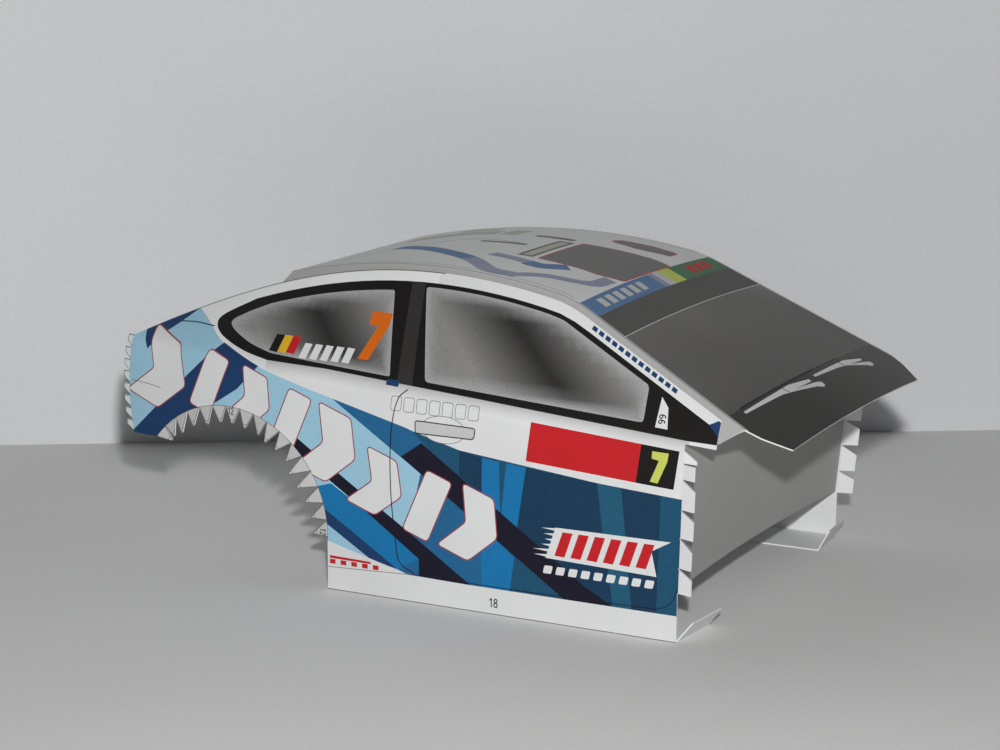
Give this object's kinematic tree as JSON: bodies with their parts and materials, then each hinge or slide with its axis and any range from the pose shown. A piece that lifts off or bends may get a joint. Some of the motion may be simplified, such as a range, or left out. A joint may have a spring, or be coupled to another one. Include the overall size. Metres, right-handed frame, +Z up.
{
  "type": "card model rally car body shell, partly put together",
  "caption": "Middle part of a card model rally car body: printed sides, roof and windscreen sheet, bulkhead and folding sill flaps.",
  "frame": {"origin": "middle of the box round the model, on the table it stands on", "axes": "+X forward, +Y to the car's left, +Z up"},
  "size_m": [0.158, 0.097, 0.0707],
  "materials": {
    "printed_side_right": "inkjet print on smooth white card",
    "printed_side_left": "inkjet print on smooth white card",
    "printed_roof": "inkjet print on smooth white card",
    "plain_card": "plain white card",
    "plain_flap": "plain white card"
  },
  "bodies": {
    "shell": {"side_sheet_right": "printed_side_right", "side_sheet_left": "printed_side_left", "roof_screen_sheet": "printed_roof", "front_bulkhead": "plain_card"},
    "flap_right": {"sill_flap_right": "plain_flap"},
    "flap_left": {"sill_flap_left": "plain_flap"}
  },
  "joints": [
    {"name": "sill_crease_right", "type": "hinge", "parent": "shell", "child": "flap_right", "pos_m": [0.018, -0.0466, 0.00015], "axis": [1, 0, 0], "range_deg": [0, 42]},
    {"name": "sill_crease_left", "type": "hinge", "parent": "shell", "child": "flap_left", "pos_m": [0.018, 0.0466, 0.00015], "axis": [-1, 0, 0], "range_deg": [0, 42]}
  ]
}
